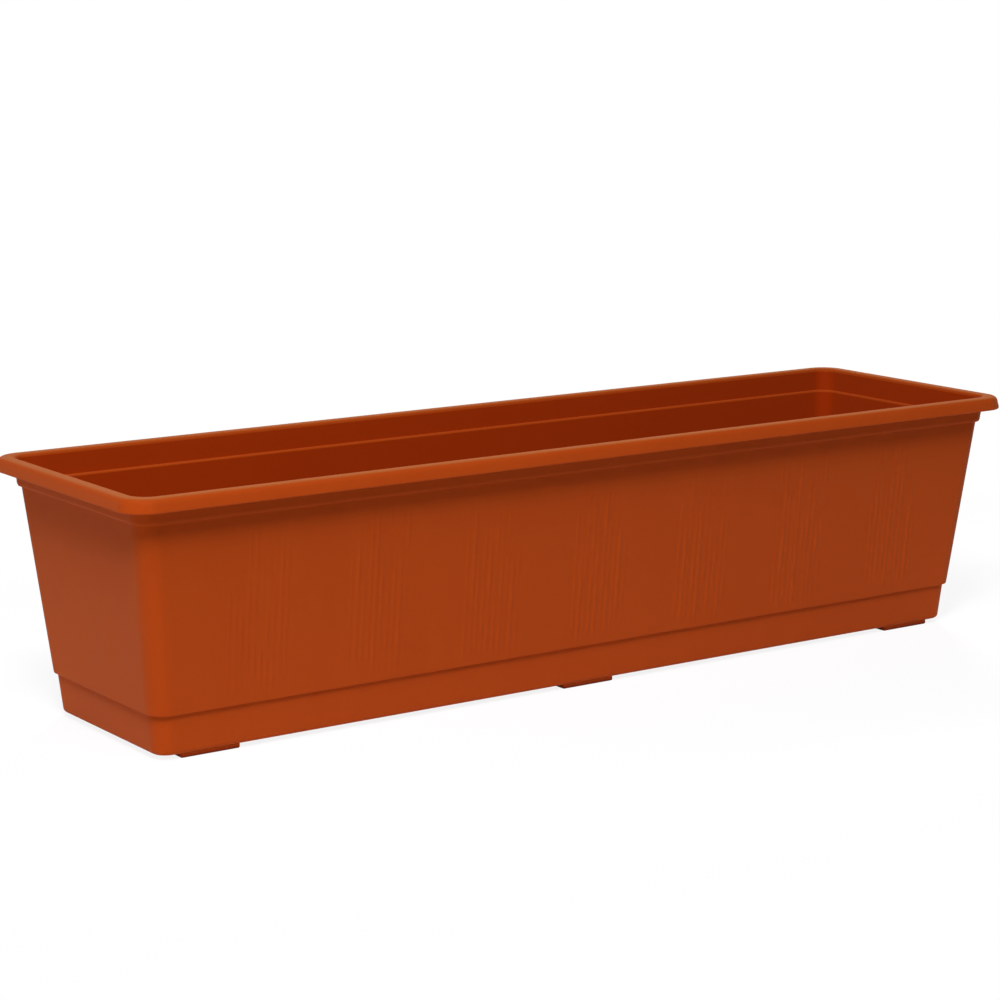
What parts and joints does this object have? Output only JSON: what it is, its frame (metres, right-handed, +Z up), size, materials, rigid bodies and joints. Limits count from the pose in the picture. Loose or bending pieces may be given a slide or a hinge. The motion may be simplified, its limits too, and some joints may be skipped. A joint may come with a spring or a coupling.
{
  "type": "window box planter",
  "caption": "Long tapered window box planter with a rolled rim, standing in a set-in drip tray with flat feet; the trough lifts off the tray's plug posts.",
  "frame": {"origin": "middle of the footprint at ground level, under the tray's feet", "axes": "+X along the length, +Y across the width towards the back long side, +Z up"},
  "size_m": [0.6, 0.1676, 0.1423],
  "materials": {
    "trough_plastic": "satin terracotta-coloured polypropylene",
    "tray_plastic": "satin terracotta-coloured polypropylene"
  },
  "bodies": {
    "tray": {"drip_tray": "tray_plastic"},
    "trough": {"planter_box": "trough_plastic"}
  },
  "joints": [
    {"name": "trough_lift_off", "type": "slide", "parent": "tray", "child": "trough", "axis": [0, 0, 1], "range_m": [0, 0.05]}
  ]
}
